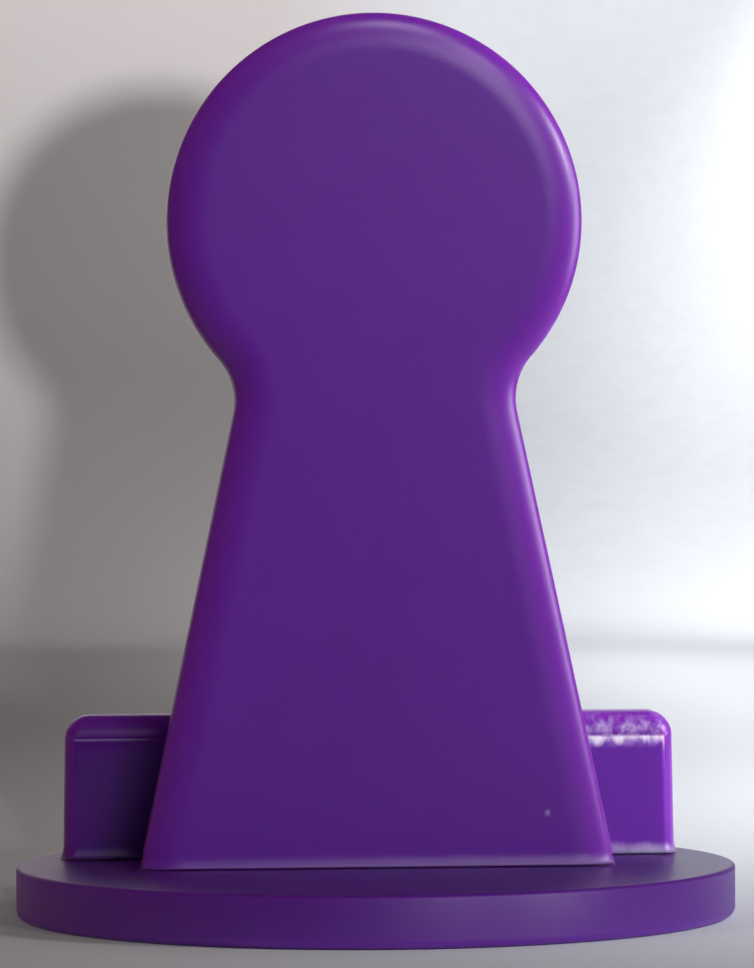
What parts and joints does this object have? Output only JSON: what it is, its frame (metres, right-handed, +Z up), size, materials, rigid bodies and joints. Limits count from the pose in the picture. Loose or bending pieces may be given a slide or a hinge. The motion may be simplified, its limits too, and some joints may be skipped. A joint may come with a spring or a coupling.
{
  "type": "board game counter",
  "caption": "Upright keyhole-shaped plastic game counter on a round base, with a low wall behind it that leaves a slot for a picture card.",
  "frame": {"origin": "middle of the base's underside, on the board", "axes": "+Z up, -Y the way the keyhole's smooth face looks, +X to its right as the viewer sees it"},
  "size_m": [0.024, 0.024, 0.03],
  "materials": {
    "purple_plastic": "gloss"
  },
  "bodies": {
    "root": {"round_base": "purple_plastic", "keyhole_plate": "purple_plastic", "card_wall": "purple_plastic"}
  },
  "joints": []
}
